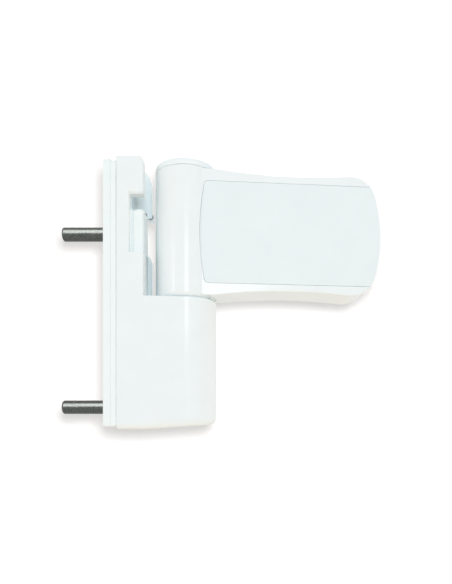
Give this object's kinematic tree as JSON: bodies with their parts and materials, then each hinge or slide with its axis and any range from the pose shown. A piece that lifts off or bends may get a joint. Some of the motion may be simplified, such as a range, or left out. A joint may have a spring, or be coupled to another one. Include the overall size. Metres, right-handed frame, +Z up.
{
  "type": "door flag hinge",
  "caption": "Adjustable flag hinge for a plastic house door: pinned frame part with barrel housing, and a leaf that swings on a hidden pin and lifts, shifts and tightens against the seal.",
  "frame": {"origin": "on the mounting face of the frame part, midway between its two support pins", "axes": "+Z up along the hinge axis, +X from the mounting face to the hinge axis, -Y towards the side that carries the cover plate at rest"},
  "size_m": [0.1156, 0.0236, 0.0972],
  "materials": {
    "white_coat": "gloss white powder coat on zinc casting",
    "white_plastic": "gloss moulded white",
    "pin_steel": "ground and zinc plated",
    "screw_steel": "bright zinc plated",
    "zinc": "bare zinc casting",
    "acetal": "natural acetal"
  },
  "bodies": {
    "frame": {"frame_packer": "white_plastic", "base_plate": "white_plastic", "frame_body": "white_coat", "support_pin_upper": "pin_steel", "support_pin_lower": "pin_steel", "base_screw_upper": "screw_steel", "base_screw_lower": "screw_steel", "channel_insert": "white_plastic", "bottom_cap": "white_plastic", "bush_lock_screw": "screw_steel"},
    "pressure_bush": {"pressure_bush": "zinc"},
    "pin_liner": {"pin_liner": "acetal"},
    "hinge_pin": {"hinge_pin": "screw_steel"},
    "thrust_pad": {"thrust_pad": "screw_steel"},
    "height_screw": {"height_screw": "screw_steel"},
    "leaf": {"leaf_body": "white_coat", "knuckle_bush_lower": "acetal", "knuckle_bush_upper": "acetal", "pin_seat": "screw_steel", "top_cap": "white_plastic", "leaf_cover": "white_plastic"},
    "door_plate": {"door_plate": "zinc", "clamp_screw_upper": "screw_steel", "clamp_screw_lower": "screw_steel", "clamp_washer_upper": "screw_steel", "clamp_washer_lower": "screw_steel"},
    "lateral_screw": {"lateral_screw": "screw_steel", "screw_circlip": "screw_steel"}
  },
  "joints": [
    {"name": "pressure_turn", "type": "hinge", "parent": "frame", "child": "pressure_bush", "pos_m": [0.0276, -0.0008, 0], "axis": [0, 0, 1], "range_deg": [-90, 90]},
    {"name": "liner_turn", "type": "hinge", "parent": "pressure_bush", "child": "pin_liner", "pos_m": [0.0276, 0, 0], "axis": [0, 0, 1], "range_deg": [-90, 90]},
    {"name": "pin_lift", "type": "slide", "parent": "pin_liner", "child": "hinge_pin", "axis": [0, 0, 1], "range_m": [0, 0.004]},
    {"name": "pad_lift", "type": "slide", "parent": "frame", "child": "thrust_pad", "axis": [0, 0, 1], "range_m": [0, 0.004]},
    {"name": "height_turn", "type": "hinge", "parent": "thrust_pad", "child": "height_screw", "pos_m": [0.0276, -0.0008, 0], "axis": [0, 0, 1], "range_deg": [0, 1152]},
    {"name": "leaf_swing", "type": "hinge", "parent": "hinge_pin", "child": "leaf", "pos_m": [0.0276, 0, 0], "axis": [0, 0, 1], "range_deg": [-96, 84]},
    {"name": "lateral_slide", "type": "slide", "parent": "leaf", "child": "door_plate", "axis": [0.9952, 0.0976, 0], "range_m": [-0.003, 0.003]},
    {"name": "lateral_turn", "type": "hinge", "parent": "leaf", "child": "lateral_screw", "pos_m": [0.08361, 0.00268, 0.0298], "axis": [0.9952, 0.0976, 0], "range_deg": [-1350, 1350]}
  ],
  "couplings": [
    {"joint": "liner_turn", "follows": "pressure_turn", "ratio": -1},
    {"joint": "pad_lift", "follows": "pin_lift", "ratio": 1},
    {"joint": "height_turn", "follows": "pin_lift", "rad_per_m": 5026.5},
    {"joint": "lateral_turn", "follows": "lateral_slide", "rad_per_m": -7854}
  ]
}
